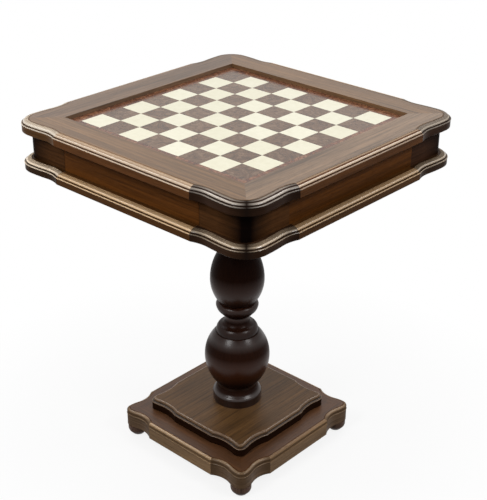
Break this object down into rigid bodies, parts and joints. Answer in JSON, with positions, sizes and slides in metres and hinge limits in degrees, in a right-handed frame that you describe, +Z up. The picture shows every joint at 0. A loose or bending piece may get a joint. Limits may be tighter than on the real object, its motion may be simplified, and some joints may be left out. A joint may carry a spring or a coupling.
{
  "type": "chess table",
  "caption": "Pedestal chess table with an inlaid board sunk in a moulded top, a drawer on each player's side, a turned column and a stepped plinth on small feet.",
  "frame": {"origin": "on the floor under the axis of the column, the middle of the table in plan", "axes": "+Z up along the column, -Y towards the front player, +X to that player's right"},
  "size_m": [0.585, 0.585, 0.6935],
  "materials": {
    "walnut_veneer": "satin lacquered walnut veneer",
    "moulded_edge": "glossy lacquered walnut moulding",
    "plinth_edge": "satin lacquered walnut edge",
    "dark_corner": "glossy dark stained corner block",
    "dark_post": "satin dark stained wood",
    "apron_panel": "satin walnut panel",
    "pale_inlay": "gloss pale maple inlay",
    "burl_inlay": "gloss reddish burl inlay",
    "dark_turning": "satin espresso stained turning",
    "steel": "zinc plated steel",
    "plain_wood": "plain sanded wood"
  },
  "bodies": {
    "table": {"board_border": "burl_inlay", "board_panel": "plain_wood", "bolt_washers": "steel", "bottom_board": "plain_wood", "centre_rail": "plain_wood", "column": "dark_turning", "column_bolts": "steel", "column_plate": "steel", "corner_post_back_left": "dark_post", "corner_post_back_right": "dark_post", "corner_post_front_left": "dark_post", "corner_post_front_right": "dark_post", "dark_squares": "burl_inlay", "drawer_guides": "plain_wood", "foot_back_left": "dark_turning", "foot_back_right": "dark_turning", "foot_front_left": "dark_turning", "foot_front_right": "dark_turning", "light_squares": "pale_inlay", "lower_corner_back_left": "dark_corner", "lower_corner_back_right": "dark_corner", "lower_corner_front_left": "dark_corner", "lower_corner_front_right": "dark_corner", "lower_edge_left": "moulded_edge", "lower_edge_right": "moulded_edge", "plate_screws": "steel", "plinth_board": "walnut_veneer", "plinth_corners": "dark_corner", "plinth_edge_back": "plinth_edge", "plinth_edge_front": "plinth_edge", "plinth_edge_left": "plinth_edge", "plinth_edge_right": "plinth_edge", "side_panel_left": "apron_panel", "side_panel_right": "apron_panel", "top_corner_back_left": "dark_corner", "top_corner_back_right": "dark_corner", "top_corner_front_left": "dark_corner", "top_corner_front_right": "dark_corner", "top_edge_back": "moulded_edge", "top_edge_front": "moulded_edge", "top_edge_left": "moulded_edge", "top_edge_right": "moulded_edge", "top_frame_back": "walnut_veneer", "top_frame_front": "walnut_veneer", "top_frame_left": "walnut_veneer", "top_frame_right": "walnut_veneer", "upper_plinth_cap": "walnut_veneer", "upper_plinth_riser": "dark_turning"},
    "front_drawer": {"front_drawer_back": "plain_wood", "front_drawer_bottom": "plain_wood", "front_drawer_front": "apron_panel", "front_drawer_left_side": "plain_wood", "front_drawer_moulding": "moulded_edge", "front_drawer_right_side": "plain_wood"},
    "back_drawer": {"back_drawer_back": "plain_wood", "back_drawer_bottom": "plain_wood", "back_drawer_front": "apron_panel", "back_drawer_left_side": "plain_wood", "back_drawer_moulding": "moulded_edge", "back_drawer_right_side": "plain_wood"}
  },
  "joints": [
    {"name": "front_drawer_slide", "type": "slide", "parent": "table", "child": "front_drawer", "axis": [0, -1, 0], "range_m": [0, 0.18]},
    {"name": "back_drawer_slide", "type": "slide", "parent": "table", "child": "back_drawer", "axis": [0, 1, 0], "range_m": [0, 0.18]}
  ]
}
